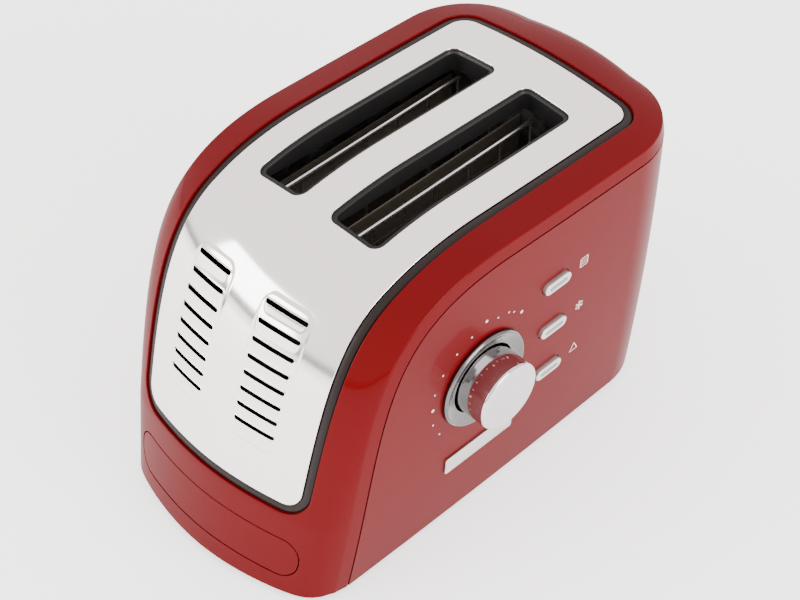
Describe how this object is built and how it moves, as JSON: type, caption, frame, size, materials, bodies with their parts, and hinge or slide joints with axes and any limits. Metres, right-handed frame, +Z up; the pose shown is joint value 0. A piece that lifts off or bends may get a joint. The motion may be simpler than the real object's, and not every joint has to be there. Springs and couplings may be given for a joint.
{
  "type": "toaster",
  "caption": "Two-slot toaster with an arched louvred steel panel in a glossy red housing, side browning knob, push buttons, rear lever and slide-out crumb tray.",
  "frame": {"origin": "on the floor under the middle of the bounding box", "axes": "+Z up, -Y towards the arched louvred front, +X towards the browning knob and buttons, +Y towards the bread lever"},
  "size_m": [0.1996, 0.3334, 0.2017],
  "materials": {
    "red": "glossy metallic red enamel",
    "steel": "satin",
    "trim": "dark brown",
    "black": "satin black",
    "sheet": "galvanised",
    "chrome": "polished",
    "dark_chrome": "dark polished",
    "silver": "satin silver",
    "lens": "smoked grey",
    "board": "circuit board green",
    "mica": "mica card",
    "wire": "plated wire",
    "rubber": "matte",
    "magnet": "copper winding"
  },
  "bodies": {
    "housing": {"badge_plate": "silver", "base_plate": "black", "bulkhead_front": "sheet", "bulkhead_rear": "sheet", "button_switch_1": "black", "button_switch_2": "black", "button_switch_3": "black", "control_board": "board", "cord_inlet": "black", "cover": "red", "foot_1": "rubber", "foot_2": "rubber", "foot_3": "rubber", "foot_4": "rubber", "guide_rod": "sheet", "heater_centre": "mica", "heater_left": "mica", "heater_right": "mica", "knob_ring": "dark_chrome", "latch_magnet": "magnet", "potentiometer": "black", "reflector_left": "sheet", "reflector_right": "sheet", "rod_bracket": "sheet", "shell": "red", "slot_collar_left": "black", "slot_collar_right": "black", "top_panel": "steel", "trim_gasket": "trim"},
    "knob": {"browning_knob": "chrome", "knob_shaft": "sheet"},
    "carriage": {"carriage": "sheet", "lifter_left": "sheet", "lifter_right": "sheet", "lever_knob": "black"},
    "crumb_drawer": {"crumb_tray": "sheet", "tray_front": "red"},
    "button_1": {"button_1": "silver", "button_lens_1": "lens"},
    "button_2": {"button_2": "silver", "button_lens_2": "lens"},
    "button_3": {"button_3": "silver", "button_lens_3": "lens"},
    "guide_left_inner": {"guide_left_inner": "wire"},
    "guide_left_outer": {"guide_left_outer": "wire"},
    "guide_right_inner": {"guide_right_inner": "wire"},
    "guide_right_outer": {"guide_right_outer": "wire"}
  },
  "joints": [
    {"name": "knob_turn", "type": "hinge", "parent": "housing", "child": "knob", "pos_m": [0.07837, -0.03308, 0.106], "axis": [0.9991, -0.0052, -0.0418], "range_deg": [-100, 100]},
    {"name": "button_1_press", "type": "slide", "parent": "housing", "child": "button_1", "axis": [-0.9997, -0.0034, 0.0256], "range_m": [0, 0.002], "stiffness_N_per_m": 600, "springref_m": -0.002},
    {"name": "button_2_press", "type": "slide", "parent": "housing", "child": "button_2", "axis": [-0.9991, -0.0034, 0.042], "range_m": [0, 0.002], "stiffness_N_per_m": 600, "springref_m": -0.002},
    {"name": "button_3_press", "type": "slide", "parent": "housing", "child": "button_3", "axis": [-0.9983, -0.0034, 0.0583], "range_m": [0, 0.002], "stiffness_N_per_m": 600, "springref_m": -0.002},
    {"name": "lever_lower", "type": "slide", "parent": "housing", "child": "carriage", "axis": [0, 0, -1], "range_m": [0, 0.056], "stiffness_N_per_m": 80, "springref_m": -0.04},
    {"name": "crumb_tray_slide", "type": "slide", "parent": "housing", "child": "crumb_drawer", "axis": [0, -1, 0], "range_m": [0, 0.2]},
    {"name": "guide_left_inner_close", "type": "hinge", "parent": "housing", "child": "guide_left_inner", "pos_m": [-0.02491, 0.00672, 0.053], "axis": [0, -1, 0], "range_deg": [0, 4.4]},
    {"name": "guide_left_outer_close", "type": "hinge", "parent": "housing", "child": "guide_left_outer", "pos_m": [-0.0509, 0.00672, 0.053], "axis": [0, 1, 0], "range_deg": [0, 4.4]},
    {"name": "guide_right_inner_close", "type": "hinge", "parent": "housing", "child": "guide_right_inner", "pos_m": [0.00548, 0.00672, 0.053], "axis": [0, 1, 0], "range_deg": [0, 4.4]},
    {"name": "guide_right_outer_close", "type": "hinge", "parent": "housing", "child": "guide_right_outer", "pos_m": [0.03148, 0.00672, 0.053], "axis": [0, -1, 0], "range_deg": [0, 4.4]}
  ],
  "couplings": [
    {"joint": "guide_left_inner_close", "follows": "lever_lower", "rad_per_m": 1.32},
    {"joint": "guide_left_outer_close", "follows": "lever_lower", "rad_per_m": 1.32},
    {"joint": "guide_right_inner_close", "follows": "lever_lower", "rad_per_m": 1.32},
    {"joint": "guide_right_outer_close", "follows": "lever_lower", "rad_per_m": 1.32}
  ]
}
